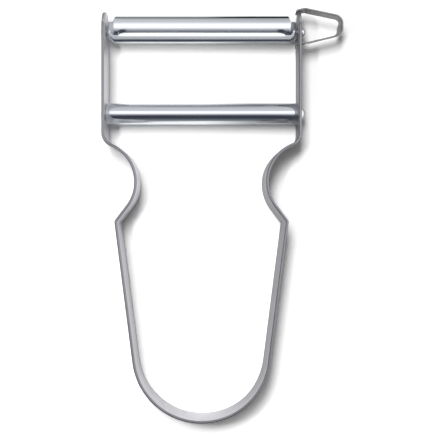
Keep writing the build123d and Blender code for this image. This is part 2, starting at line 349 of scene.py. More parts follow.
def seat(piece: bpy.types.Object, body: Body, node: str) -> None:
    """Say which body a piece rides on and which node it stands for.

    Args:
        piece: The piece.
        body: The body that carries it.
        node: The node of the plain model that it replaces.
    """
    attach(piece, body.value)
    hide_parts(node)
    LOG.info("%s: %d faces, rides on %s", piece.name, len(piece.data.polygons), body.value)


def mesh_from(bm: bmesh.types.BMesh, name: str) -> bpy.types.Mesh:
    """Turn a bmesh in millimetres into a mesh in metres with its faces outward.

    Args:
        bm: The bmesh, which is freed.
        name: The mesh's name.

    Returns:
        The finished mesh.
    """
    bmesh.ops.remove_doubles(bm, verts=bm.verts, dist=MERGE_DISTANCE)
    bmesh.ops.dissolve_degenerate(bm, edges=bm.edges, dist=SLIVER_LENGTH)
    bmesh.ops.recalc_face_normals(bm, faces=bm.faces)
    bmesh.ops.scale(bm, vec=(MM, MM, MM), verts=bm.verts)
    mesh = bpy.data.meshes.new(name)
    bm.to_mesh(mesh)
    bm.free()
    return mesh


class StripRoute:
    """A route in the plane of the bow, drawn as straight runs and arcs, one after another."""

    # How many steps apart a run's points lie, and how many an arc has at least and an end has
    run_stretch: int = 4
    least_arc_steps: int = 6
    end_steps: int = 22

    def __init__(self, x: float, y: float, heading: float, step: float) -> None:
        """Start the route.

        Args:
            x: The start's x.
            y: The start's y.
            heading: The direction it sets off in, in radians from +X.
            step: The distance between its points on an arc.
        """
        self.points: Outline = [(x, y)]
        self.heading = heading
        self.step = step

    def add_ahead(self, start: Pair, distance: float) -> None:
        """Add the point that lies straight ahead of a start."""
        self.points.append((start[0] + distance * math.cos(self.heading),
                            start[1] + distance * math.sin(self.heading)))

    def run(self, length: float) -> None:
        """Go straight on.

        Args:
            length: How far.
        """
        start = self.points[-1]
        for distance in steps(0, length, max(1, round(length / (self.run_stretch * self.step)))):
            self.add_ahead(start, distance)

    def turn(self, radius: float, angle: float) -> None:
        """Follow an arc.

        Args:
            radius: The arc's radius.
            angle: How far it turns, in radians, positive to the left.
        """
        x, y = self.points[-1]
        side = math.copysign(1, angle)
        centre_x = x - side * radius * math.sin(self.heading)
        centre_y = y + side * radius * math.cos(self.heading)
        count = max(self.least_arc_steps, round(abs(angle) * radius / self.step))
        for turned in steps(0, angle, count):
            bearing = self.heading + turned
            self.points.append((centre_x + side * radius * math.sin(bearing),
                                centre_y - side * radius * math.cos(bearing)))
        self.heading += angle

    def end_run(self, length: float, radius: float) -> None:
        """Go straight to the strip's end, with points closer together where it is rounded off.

        Args:
            length: How far.
            radius: The length over which the strip's end is rounded.
        """
        self.run(length - radius)
        start = self.points[-1]
        for quarter in steps(0, math.pi / 2, self.end_steps):
            self.add_ahead(start, radius * math.sin(quarter))


def bent_strip_tree() -> bpy.types.NodeTree:
    """Build the node tree that sweeps a strip along a route and rounds its ends.

    Returns:
        The geometry node tree, with named inputs for the strip's sizes.
    """
    least_height_share = 0.05
    tree = bpy.data.node_groups.new("bent_strip", "GeometryNodeTree")
    for name, kind in (("Route", "Geometry"), ("Width", "Float"), ("Thickness", "Float"),
                       ("Edge Radius", "Float"), ("End Radius", "Float"), ("Mid Depth", "Float"),
                       ("Finish", "Material")):
        tree.interface.new_socket(name, in_out="INPUT", socket_type=f"NodeSocket{kind}")
    tree.interface.new_socket("Strip", in_out="OUTPUT", socket_type="NodeSocketGeometry")
    graph = Graph(tree)
    given = graph.add("NodeGroupInput").outputs

    route = graph.add("GeometryNodeMeshToCurve", {"Mesh": given["Route"]})
    upright = graph.add("GeometryNodeSetCurveNormal", {"Curve": route.outputs[0]}, mode="Z_UP")
    capture = graph.add("GeometryNodeCaptureAttribute")
    capture.capture_items.new("FLOAT", "Along")
    capture.capture_items.new("FLOAT", "Whole")
    along = graph.add("GeometryNodeSplineParameter")
    whole = graph.add("GeometryNodeSplineLength")
    tree.links.new(upright.outputs[0], capture.inputs["Geometry"])
    tree.links.new(along.outputs["Length"], capture.inputs["Along"])
    tree.links.new(whole.outputs["Length"], capture.inputs["Whole"])

    outline = graph.add("GeometryNodeCurvePrimitiveQuadrilateral",
                        {"Width": given["Thickness"], "Height": given["Width"]})
    rounded = graph.add("GeometryNodeFilletCurve",
                        {"Curve": outline.outputs[0], "Radius": given["Edge Radius"], "Count": 4},
                        mode="POLY")
    swept = graph.add("GeometryNodeCurveToMesh", {
        "Curve": capture.outputs["Geometry"], "Profile Curve": rounded.outputs[0],
        "Fill Caps": True})

    # Near each end the height falls off along a circle, so that the end is round in side view
    rest = graph.math("SUBTRACT", capture.outputs["Whole"], capture.outputs["Along"])
    nearest = graph.math("MINIMUM", capture.outputs["Along"], rest)
    inside = graph.math("MINIMUM", nearest, given["End Radius"])
    remaining = graph.math("SUBTRACT", given["End Radius"], inside)
    share = graph.math("DIVIDE", remaining, given["End Radius"])
    drop = graph.math("SUBTRACT", 1.0, graph.math("MULTIPLY", share, share))
    height = graph.math("MAXIMUM", graph.math("SQRT", drop), least_height_share)
    place = graph.add("ShaderNodeSeparateXYZ",
                      {0: graph.add("GeometryNodeInputPosition").outputs[0]})
    above = graph.math("SUBTRACT", place.outputs[2], given["Mid Depth"])
    lifted = graph.math("ADD", graph.math("MULTIPLY", above, height), given["Mid Depth"])
    # A route's lean is how far to its left the strip's lower edge stands from the upper one
    lean = graph.add("GeometryNodeInputNamedAttribute", {"Name": "lean"},
                     data_type="FLOAT_VECTOR").outputs["Attribute"]
    below = graph.math("SUBTRACT", 0.5, graph.math("DIVIDE", above, given["Width"]))
    leaning = graph.add("ShaderNodeVectorMath", {0: lean, "Scale": below}, operation="SCALE")
    upright_place = graph.add("ShaderNodeCombineXYZ",
                              {0: place.outputs[0], 1: place.outputs[1], 2: lifted})
    moved = graph.add("ShaderNodeVectorMath",
                      {0: upright_place.outputs[0], 1: leaning.outputs[0]}, operation="ADD")
    shaped = graph.add("GeometryNodeSetPosition",
                       {"Geometry": swept.outputs[0], "Position": moved.outputs[0]})

    # The finish's grain follows the strip: first along it, then up its height
    grain_place = graph.add("ShaderNodeCombineXYZ",
                            {0: capture.outputs["Along"], 1: lifted, 2: place.outputs[0]})
    marked = graph.add("GeometryNodeStoreNamedAttribute",
                       {"Geometry": shaped.outputs[0], "Name": "strip_place",
                        "Value": grain_place.outputs[0]},
                       data_type="FLOAT_VECTOR", domain="POINT")
    real = graph.add("GeometryNodeRealizeInstances", {0: marked.outputs[0]})
    dressed = graph.add("GeometryNodeSetMaterial",
                        {"Geometry": real.outputs[0], "Material": given["Finish"]})
    graph.add("NodeGroupOutput", {0: dressed.outputs[0]})
    return tree


@dataclass
class BentStrip:
    """A flat strip bent along a route, standing on its edge."""

    width: float
    thickness: float
    edge_radius: float
    end_radius: float
    mid_depth: float

    def sweep(self, name: str, route: Outline, tree: bpy.types.NodeTree,
              material: bpy.types.Material, leans: list[float] | None = None) -> bpy.types.Object:
        """Sweep the strip along a route.

        Args:
            name: The piece's name.
            route: The points of its middle line.
            tree: The node tree that sweeps strips.
            material: Its finish.
            leans: How far the lower edge stands to the left of the route at each point.

        Returns:
            The piece, as a plain mesh.
        """
        line = bpy.data.meshes.new(f"{name}_route")
        points = [(x * MM, y * MM, self.mid_depth * MM) for x, y in route]
        line.from_pydata(points, [(i, i + 1) for i in range(len(points) - 1)], [])
        shift = line.attributes.new("lean", "FLOAT_VECTOR", "POINT")
        for i, lean in enumerate(leans or [0.0] * len(points)):
            onward = Vector(points[min(i + 1, len(points) - 1)]) - Vector(points[max(i - 1, 0)])
            shift.data[i].vector = Vector((-onward.y, onward.x, 0)).normalized() * lean * MM
        holder = add_object(f"{name}_route", line)
        modifier = holder.modifiers.new("sweep", "NODES")
        modifier.node_group = tree
        values = {"Width": self.width * MM, "Thickness": self.thickness * MM,
                  "Edge Radius": self.edge_radius * MM, "End Radius": self.end_radius * MM,
                  "Mid Depth": self.mid_depth * MM, "Finish": material}
        for item in tree.interface.items_tree:
            if item.in_out == "INPUT" and item.name in values:
                modifier[item.identifier] = values[item.name]
        holder.update_tag()
        evaluated = holder.evaluated_get(bpy.context.evaluated_depsgraph_get())
        mesh = bpy.data.meshes.new_from_object(evaluated)
        bpy.data.objects.remove(holder)
        mesh.name = name
        bm = bmesh.new()
        bm.from_mesh(mesh)
        bmesh.ops.remove_doubles(bm, verts=bm.verts, dist=STRIP_MERGE_DISTANCE * MM)
        bmesh.ops.recalc_face_normals(bm, faces=bm.faces)
        bm.to_mesh(mesh)
        bm.free()
        return make_piece(name, mesh, material)


@dataclass
class Bow:
    """The one strip that makes the handle loop, the waisted neck and the arms."""

    width: float = 10.0
    thickness: float = 0.8
    edge_radius: float = 0.3
    heel_radius: float = 18.44
    leg_flare: float = math.radians(7.3)
    shoulder_height: float = 54.2
    shoulder_radius: float = 1.2
    shoulder_run: float = 5.22
    neck_radius: float = 10.76
    neck_width: float = 35.6
    bend_radius: float = 3.5
    arm_spacing: float = 53.3
    tip_height: float = ARM_TIP
    route_step: float = 0.35
    # The bent strip isn't quite upright in the grip, least of all on the right
    lean_right: float = 0.75
    lean_left: float = 0.12
    lean_from: float = 2.0
    lean_to: float = 80.0
    lean_blend: float = 14.0

    def route(self) -> Outline:
        """Work out the strip's middle line from one arm's tip to the other's.

        Returns:
            The points of the middle line.
        """
        leg_start = self.heel_radius * (1 - math.sin(self.leg_flare))
        leg = (self.shoulder_height - leg_start) / math.cos(self.leg_flare)
        shoulder_x = self.heel_radius * math.cos(self.leg_flare) + leg * math.sin(self.leg_flare)
        neck_x = self.neck_width / 2 + self.neck_radius
        bend_x = self.arm_spacing / 2 - self.bend_radius
        spread = neck_x - shoulder_x
        neck_rise = math.sqrt(self.shoulder_run**2 + self.neck_radius**2 - spread**2)
        bend_rise = math.sqrt((self.neck_radius + self.bend_radius) ** 2 - (neck_x - bend_x) ** 2)
        run_angle = math.atan2(neck_rise, spread) + math.atan2(self.neck_radius, self.shoulder_run)
        crossing = math.atan2(bend_rise, bend_x - neck_x) - math.pi / 2
        shoulder_turn = run_angle - math.pi / 2 + self.leg_flare
        cut = self.shoulder_radius * math.tan(shoulder_turn / 2)

        right = StripRoute(0, 0, 0, self.route_step)
        right.turn(self.heel_radius, math.pi / 2 - self.leg_flare)
        right.run(leg - cut)
        right.turn(self.shoulder_radius, shoulder_turn)
        right.run(self.shoulder_run - cut)
        right.turn(self.neck_radius, crossing - run_angle)
        right.turn(self.bend_radius, math.pi / 2 - crossing)
        right.end_run(self.tip_height - right.points[-1][1], self.width / 2)
        left = [(-x, y) for x, y in reversed(right.points[1:])]
        return left + right.points

    def lean(self, x: float, y: float) -> float:
        """Find how far the strip's lower edge stands in at one place of the grip.

        Args:
            x: The place's x.
            y: The place's y.

        Returns:
            The distance to the inside of the loop.
        """
        most = self.lean_right if x > 0 else self.lean_left
        up = clamp((y - self.lean_from) / self.lean_blend)
        down = clamp((self.lean_to - y) / self.lean_blend)
        return most * ease(min(up, down))

    def dress(self, tree: bpy.types.NodeTree, material: bpy.types.Material) -> None:
        """Build the bow and seat it.

        Args:
            tree: The node tree that sweeps strips.
            material: Its finish.
        """
        strip = BentStrip(self.width, self.thickness, self.edge_radius, self.width / 2,
                          self.width / 2)
        route = self.route()
        leans = [self.lean(x, y) for x, y in route]
        piece = strip.sweep("bent_bow", route, tree, material, leans)
        seat(piece, Body.HANDLE, "bow")


@dataclass
class EyeRemover:
    """The thin strip loop outside the right arm, hooked over its tip and through its side."""

    width: float = 3.6
    thickness: float = 0.45
    edge_radius: float = 0.1
    arm_inner: float = ARM_INNER
    arm_outer: float = ARM_OUTER
    arm_tip: float = ARM_TIP
    mid_depth: float = MID_DEPTH
    reach: float = 11.7
    axis_height: float = SWING_AXIS
    tip_above_axis: float = 1.4
    tip_width: float = 5.0
    corner_radius: float = 2.4
    knee_reach: float = 1.2
    knee_rise: float = 0.5
    knee_radius: float = 0.9
    foot_below_axis: float = 3.3
    foot_reach: float = 2.4
    bend_radius: float = 0.4
    hook_length: float = 0.8
    clench_length: float = 1.3
    seat_clearance: float = 0.05
    end_radius: float = 0.001
    route_step: float = 0.12
    # From its outer corner on, the strip leans in at its lower edge
    lean_in: float = 0.9
    lean_start: float = 1.5

    def corners(self) -> list[Corner]:
        """List the loop's corners.

        Returns:
            Each corner's x and y and the radius that it is bent to.
        """
        half = self.thickness / 2
        inside = self.arm_inner - half - self.seat_clearance
        tip = self.arm_outer + self.reach - half
        hook = self.arm_tip + half
        middle = self.axis_height + self.tip_above_axis
        foot = self.axis_height - self.foot_below_axis
        return [
            (inside, hook - self.hook_length, 0),
            (inside, hook, self.bend_radius),
            (self.arm_outer + self.knee_reach, hook + self.knee_rise, self.knee_radius),
            (tip, middle + self.tip_width / 2, self.corner_radius),
            (tip, middle - self.tip_width / 2, self.corner_radius),
            (self.arm_outer + self.foot_reach, foot, self.knee_radius),
            (inside, foot, self.bend_radius),
            (inside, foot - self.clench_length, 0),
        ]

    def route(self) -> Outline:
        """Round the loop's corners into runs and arcs.

        Returns:
            The points of the strip's middle line.
        """
        corners = [(Vector((x, y)), radius) for x, y, radius in self.corners()]
        first = corners[1][0] - corners[0][0]
        route = StripRoute(*corners[0][0], math.atan2(first.y, first.x), self.route_step)
        spent = 0.0
        for i in range(1, len(corners)):
            here, radius = corners[i]
            length = (here - corners[i - 1][0]).length
            if radius == 0:
                route.run(length - spent)
                break
            onward = corners[i + 1][0] - here
            turn = math.atan2(onward.y, onward.x) - route.heading
            turn = (turn + math.pi) % (2 * math.pi) - math.pi
            cut = radius * math.tan(abs(turn) / 2)
            route.run(length - spent - cut)
            route.turn(radius, turn)
            spent = cut
        return route.points

    def lean(self, x: float, y: float) -> float:
        """Find how far the strip's lower edge stands out at one place of the loop.

        Args:
            x: The place's x.
            y: The place's y.

        Returns:
            The distance to the outside of the loop, less than 0 where it leans in.
        """
        corner = self.axis_height + self.tip_above_axis + self.tip_width / 2
        down = clamp((corner - y) / (self.tip_width / 2))
        out = clamp((x - self.arm_outer) / self.lean_start)
        return -self.lean_in * ease(down) * out

    def dress(self, tree: bpy.types.NodeTree, material: bpy.types.Material) -> None:
        """Build the loop and seat it.

        Args:
            tree: The node tree that sweeps strips.
            material: Its finish.
        """
        strip = BentStrip(self.width, self.thickness, self.edge_radius, self.end_radius,
                          self.mid_depth)
        route = self.route()
        leans = [self.lean(x, y) for x, y in route]
        piece = strip.sweep("eye_remover_loop", route, tree, material, leans)
        seat(piece, Body.HANDLE, "eye_remover")


@dataclass
class TurnedPart:
    """A part that is round about a line across the peeler."""

    height: float
    mid_depth: float = MID_DEPTH
    segments: int = 72

    def spin(self, name: str, outline: Outline, material: bpy.types.Material) -> bpy.types.Object:
        """Spin an outline about the line.

        Args:
            name: The piece's name.
            outline: Points of x along the line and radius, whose ends lie on the line.
            material: Its finish.

        Returns:
            The piece.
        """
        bm = bmesh.new()
        rings: list[list[bmesh.types.BMVert]] = []
        for x, radius in outline:
            count = 1 if radius == 0 else self.segments
            ring = []
            for i in range(count):
                angle = 2 * math.pi * i / self.segments
                ring.append(bm.verts.new((x, self.height + radius * math.cos(angle),
                                          self.mid_depth + radius * math.sin(angle))))
            rings.append(ring)
        for first, second in zip(rings, rings[1:]):
            for i in range(self.segments):
                corners = [first[i % len(first)], first[(i + 1) % len(first)],
                           second[(i + 1) % len(second)], second[i % len(second)]]
                bm.faces.new(list(dict.fromkeys(corners)))
        return make_piece(name, mesh_from(bm, name), material)


def dome(face: float, side: Side, radius: float, rise: float, lip: float) -> Outline:
    """Outline a domed head from its rim to its top.

    Args:
        face: The x of the surface that the head sits on.
        side: Which way the head points.
        radius: Its rim's radius.
        rise: How far it stands up.
        lip: The height of its rim.

    Returns:
        Points of x and radius.
    """
    sphere = (radius**2 + (rise - lip) ** 2) / (2 * (rise - lip))
    sweep = math.asin(min(1.0, radius / sphere))
    points = [(face, radius * RIM_FOOT_SHARE),
              (face + side.value * lip * RIM_HEIGHT_SHARE, radius)]
    for i in range(DOME_STEPS):
        angle = sweep * (1 - i / DOME_STEPS)
        x = face + side.value * (rise - sphere * (1 - math.cos(angle)))
        points.append((x, sphere * math.sin(angle)))
    return points + [(face + side.value * rise, 0)]


@dataclass
class Crossbar(TurnedPart):
    """The round bar between the arms and the two domed rivets that hold it."""

    height: float = 83.9
    radius: float = 2.9
    chamfer: float = 0.25
    soft_share: float = 0.3
    arm_inner: float = ARM_INNER
    arm_outer: float = ARM_OUTER
    rivet_radius: float = 1.2
    rivet_depth: float = 6.0
    head_radius: float = 1.8
    head_lip: float = 0.12

    def bar_outline(self) -> Outline:
        """Outline the bar from one bored end to the other.

        Returns:
            Points of x and radius.
        """
        soft = self.chamfer * self.soft_share
        half = [(self.arm_inner - self.rivet_depth, 0),
                (self.arm_inner - self.rivet_depth, self.rivet_radius),
                (self.arm_inner, self.rivet_radius),
                (self.arm_inner, self.radius - self.chamfer),
                (self.arm_inner - soft, self.radius - soft),
                (self.arm_inner - self.chamfer, self.radius),
                (self.arm_inner / 2, self.radius)]
        return [(-x, r) for x, r in half] + [(x, r) for x, r in reversed(half)]

    def dress(self, bar_metal: bpy.types.Material, rivet_metal: bpy.types.Material) -> None:
        """Build the bar and its rivets and seat them.

        Args:
            bar_metal: The bar's finish.
            rivet_metal: The rivets' finish.
        """
        bar = self.spin("round_bar", self.bar_outline(), bar_metal)
        seat(bar, Body.HANDLE, "crossbar")
        for side in Side:
            inner_end = side.value * (self.arm_inner - self.rivet_depth)
            face = side.value * self.arm_outer
            outline = [(inner_end, 0), (inner_end, self.rivet_radius), (face, self.rivet_radius)]
            outline += dome(face, side, self.head_radius, HEAD_RISE[side], self.head_lip)
            rivet = self.spin(f"bar_rivet_{side.label}", outline, rivet_metal)
            seat(rivet, Body.HANDLE, f"crossbar_rivet_{side.label}")


@dataclass
class BladePins(TurnedPart):
    """The two headed pins that the blade swings on."""

    height: float = SWING_AXIS
    arm_outer: float = ARM_OUTER
    ear_inner: float = 25.45
    tail_clearance: float = 0.15
    shank_radius: float = 0.75
    head_radius: float = 1.15
    head_lip: float = 0.2
    tail_radius: float = 1.0
    tail_length: float = 0.55
    # The tail's end is rounded off: over this share of its length, to this share of its radius
    soft_share: float = 0.3
    end_share: float = 0.72

    def dress(self, material: bpy.types.Material) -> None:
        """Build both pins and seat them.

        Args:
            material: Their finish.
        """
        for side in Side:
            tail = self.ear_inner - self.tail_clearance
            end = side.value * (tail - self.tail_length)
            soft = side.value * self.tail_length * self.soft_share
            face = side.value * self.arm_outer
            outline = [(end, 0), (end, self.tail_radius * self.end_share),
                       (end + soft, self.tail_radius),
                       (side.value * tail, self.tail_radius),
                       (side.value * tail, self.shank_radius), (face, self.shank_radius)]
            outline += dome(face, side, self.head_radius, HEAD_RISE[side], self.head_lip)
            pin = self.spin(f"swivel_pin_{side.label}", outline, material)
            seat(pin, Body.HANDLE, f"blade_pin_{side.label}")


@dataclass
class Blade:
    """The slotted swivel blade: a curved sheet with an ear turned down at each end.

    The cutting side of the slot stands higher than the guard, whose flat lip lies behind it.
    """

    axis_height: float = SWING_AXIS
    mid_depth: float = MID_DEPTH
    thickness: float = 0.5
    crown_rise: float = 2.2
    crown_ahead: float = 1.63
    main_radius: float = 5.6
    nose_radius: float = 2.5
    nose_start: float = 7.0
    front_reach: float = 4.2
    front_corner: float = 23.7
    front_shoulder: float = 24.3
    slot_half: float = 22.9
    slot_offset: float = 0.36
    slot_ramp: float = 2.8
    bevel_width: float = 0.9
    edge_thickness: float = 0.08
    crease: float = 1.22
    crease_height: float = 1.2
    seam: float = 0.06
    lip_gap: float = 0.07
    lip_slope: float = 2.5
    land_length: float = 0.9
    land_slope: float = 14.0
    roll_radius: float = 1.2
    roll_end: float = 80.0
    guard_corner: float = 24.3
    step_width: float = 0.72
    ear_outer: float = 25.95
    ear_front: float = 2.4
    ear_guard: float = 1.6
    ear_lift: float = 0.6
    neck_drop: float = 0.6
    ear_radius: float = 1.7
    bend_radius: float = 0.85
    # Round the ear the sheet's rows spread over this arc, in degrees, from its front
    ear_start: float = 20.0
    ear_sweep: float = 225.0
    # The guard's flat lip: its rows, its least length and how it draws in at the slot's end
    lip_shares: tuple[float, ...] = (1.0, 0.5, 0.1)
    least_lip_share: float = 0.2
    lip_gap_share: float = 0.3
    crease_half: float = 0.03
    slope_span: float = 0.005
    # Rows across the sheet and stations along it
    front_rows: int = 30
    roll_steps: int = 12
    middle_steps: int = 12
    ramp_steps: int = 16
    corner_steps: int = 5
    bend_steps: int = 8
    ear_steps: int = 10

    def raised(self, y: float) -> float:
        """Find the height of the raised sheet's outer surface.

        Args:
            y: The distance from the swing axis, towards the front.

        Returns:
            The surface's height above the axis.
        """
        start = math.radians(self.nose_start)
        along = y - self.crown_ahead
        low = self.crown_rise - self.main_radius
        if along <= self.main_radius * math.sin(start):
            return low + math.sqrt(self.main_radius**2 - along**2)
        step = self.main_radius - self.nose_radius
        along -= step * math.sin(start)
        return low + step * math.cos(start) + math.sqrt(self.nose_radius**2 - along**2)

    def guard(self, run: float) -> tuple[float, float, float]:
        """Find one point of the guard's outer surface.

        Args:
            run: The distance from the crease along the surface, less than 0 on the flat lip.

        Returns:
            The point's y and height, and the surface's slope in radians.
        """
        slope = math.radians(self.lip_slope if run <= 0 else self.land_slope)
        flat = min(run, self.land_length)
        y = -self.crease - flat * math.cos(slope)
        z = self.crease_height - flat * math.sin(slope)
        if run > flat:
            turned = slope + (run - flat) / self.roll_radius
            y -= self.roll_radius * (math.sin(turned) - math.sin(slope))
            z -= self.roll_radius * (math.cos(slope) - math.cos(turned))
            slope = turned
        return y, z, slope

    def guard_length(self) -> float:
        """Find how far the guard runs past the crease along its surface."""
        turned = math.radians(self.roll_end - self.land_slope)
        return self.land_length + self.roll_radius * turned

    def carried(self, x: float) -> Pair:
        """Find how far the guard is carried forward and up, on its way to the ear.

        Args:
            x: The distance from the blade's middle.

        Returns:
            The distance forward and the distance up.
        """
        share = clamp((x - self.guard_corner) / (self.ear_outer - self.guard_corner))
        edge = self.guard(self.guard_length())[0]
        return share * (-self.ear_guard - edge), share * self.ear_lift

    def front(self, x: float) -> float:
        """Find the front edge's y at one distance from the middle."""
        share = (x - self.front_corner) / (self.front_shoulder - self.front_corner)
        return self.front_reach + (self.ear_front - self.front_reach) * clamp(share)

    def cut(self, x: float) -> float:
        """Find where the raised sheet ends: at the slot, or past it where it meets the guard.

        Args:
            x: The distance from the blade's middle.

        Returns:
            The y of that line.
        """
        ramp = (x - (self.slot_half - self.slot_ramp)) / self.slot_ramp
        last = self.seam - self.crease + self.carried(x)[0]
        if ramp <= 0:
            return -self.slot_offset
        if ramp < 1:
            return last + (-self.slot_offset - last) * math.sqrt(1 - ramp * ramp)
        return last

    def stations(self) -> list[Station]:
        """List the stations from the blade's middle to the bottom of its right ear.

        Returns:
            For each, its x before the bend, its turn over the bend and its share down the ear.
        """
        ramp = self.slot_half - self.slot_ramp
        flat_end = self.ear_outer - self.bend_radius
        flat = [0.0] + steps(0, ramp, self.middle_steps)
        flat += [ramp + self.slot_ramp * math.sin(quarter)
                 for quarter in steps(0, math.pi / 2, self.ramp_steps)]
        stops = (self.slot_half, self.front_corner, self.front_shoulder, flat_end)
        for start, stop in zip(stops, stops[1:]):
            flat += steps(start, stop, self.corner_steps)
        return ([(x, 0.0, 0.0) for x in flat]
                + [(flat_end, turn, 0.0) for turn in steps(0, math.pi / 2, self.bend_steps)]
                + [(flat_end, math.pi / 2, down) for down in steps(0, 1, self.ear_steps)])

    def section(self, x: float) -> tuple[list[Row], list[Row]]:
        """List the sheet's rows at one distance from the middle.

        Args:
            x: The distance from the blade's middle.

        Returns:
            The raised sheet's rows and the guard's rows, each as y, height and lean.
        """
        front, cut = self.front(x), self.cut(x)
        joined = x >= self.slot_half
        forward, up = self.carried(x)
        level = self.guard(forward - self.crease - cut)[1] + up
        neck = clamp((x - self.front_corner) / (self.ear_outer - self.front_corner))
        low = self.neck_drop * ease(neck)
        drop = self.raised(cut) - low - level
        if not joined:
            drop *= max(0.0, 1 - (self.slot_half - x) / self.slot_ramp) ** 2

        def height(y: float) -> float:
            """Find the dropped surface's height over one y."""
            return self.raised(y) - low - drop * max(0.0, 1 - (y - cut) / self.step_width)

        raised_rows = []
        for y in [front] + steps(front, cut, self.front_rows):
            rise = height(y + self.slope_span) - height(y - self.slope_span)
            raised_rows.append((y, height(y), math.atan(-rise / (2 * self.slope_span))))
        gap = 0.0 if joined else min(self.lip_gap, (self.slot_half - x) * self.lip_gap_share)
        first = min(forward - self.crease - cut + gap, -self.seam * self.least_lip_share)
        runs = [first * share for share in self.lip_shares]
        runs += [self.crease_half, self.land_length / 2, self.land_length - self.crease_half]
        runs += [self.land_length]
        runs += steps(self.land_length, self.guard_length(), self.roll_steps)
        guard_rows = []
        for run in runs:
            y, z, slope = self.guard(run)
            guard_rows.append((y + forward, z + up, -slope))
        if joined:
            raised_rows[-1] = guard_rows[0]
        return raised_rows, guard_rows

    def place(self, station: Station, row: Row, share: float, inset: float) -> Vector:
        """Place one point of the sheet.

        Args:
            station: The station that it belongs to.
            row: Its y, height and lean where the sheet lies flat.
            share: Its share of the way from the front edge to the guard edge.
            inset: Its depth below the outer surface.

        Returns:
            The point, with its y and z measured from the swing axis.
        """
        x, turn, down = station
        y, z, lean = row
        normal = Vector((0, math.sin(lean), math.cos(lean)))
        centre = Vector((x, y, z)) - normal * self.bend_radius
        facing = normal * math.cos(turn) + Vector((1, 0, 0)) * math.sin(turn)
        point = centre + facing * (self.bend_radius - inset)
        if down > 0:
            bearing = math.radians(self.ear_start - self.ear_sweep * share)
            foot = Vector((point.x, self.ear_radius * math.cos(bearing),
                           self.ear_radius * math.sin(bearing)))
            point = point.lerp(foot, down)
        return point

    def half(self, bm: bmesh.types.BMesh, mirror: int) -> None:
        """Add one half of the blade.

        Args:
            bm: The bmesh that it goes into.
            mirror: 1 for the right half, -1 for the left half.
        """
        skins: tuple[list, list] = ([], [])
        open_slot = []
        for station in self.stations():
            x = station[0] + self.bend_radius * math.sin(station[1])
            raised_rows, guard_rows = self.section(x)
            front, back = raised_rows[0][0], guard_rows[-1][0]
            lines: tuple[list, list] = ([], [])
            for number, row in enumerate(raised_rows + guard_rows):
                share = (front - row[0]) / (front - back)
                ground = 0.0
                if number < len(raised_rows):
                    ground = max(0.0, 1 - (row[0] - raised_rows[-1][0]) / self.bevel_width)
                    ground *= clamp((self.slot_half - x) / self.slot_ramp)
                under = self.thickness - ground * (self.thickness - self.edge_thickness)
                for inset, line in zip((0.0, under), lines):
                    point = self.place(station, row, share, inset)
                    line.append(bm.verts.new((mirror * point.x, self.axis_height + point.y,
                                              self.mid_depth + point.z)))
            for skin, line in zip(skins, lines):
                skin.append(line)
            open_slot.append(x < self.slot_half)
        self.close(bm, *skins, open_slot)

    def close(self, bm: bmesh.types.BMesh, outer: list, inner: list,
              open_slot: list[bool]) -> None:
        """Join the two skins' vertices into a closed sheet.

        Args:
            bm: The bmesh that they are in.
            outer: The outer skin's vertices, by station and row.
            inner: The inner skin's vertices, in the same order.
            open_slot: For each station, whether the slot is open there.
        """
        lip = self.front_rows
        rows = len(outer[0])
        for s in range(len(outer) - 1):
            for r in range(rows - 1):
                if r != lip:
                    for skin in (outer, inner):
                        bm.faces.new((skin[s][r], skin[s + 1][r], skin[s + 1][r + 1],
                                      skin[s][r + 1]))
            walls = (0, lip, lip + 1, rows - 1) if open_slot[s] else (0, rows - 1)
            for r in walls:
                bm.faces.new((outer[s][r], outer[s + 1][r], inner[s + 1][r], inner[s][r]))
        for r in range(rows - 1):
            if r != lip:
                bm.faces.new((outer[-1][r], outer[-1][r + 1], inner[-1][r + 1], inner[-1][r]))

    def dress(self, material: bpy.types.Material) -> None:
        """Build the blade and seat it.

        Args:
            material: Its finish.
        """
        bm = bmesh.new()
        for mirror in (1, -1):
            self.half(bm, mirror)
        piece = make_piece("slotted_blade", mesh_from(bm, "slotted_blade"), material)
        seat(piece, Body.BLADE, "blade")


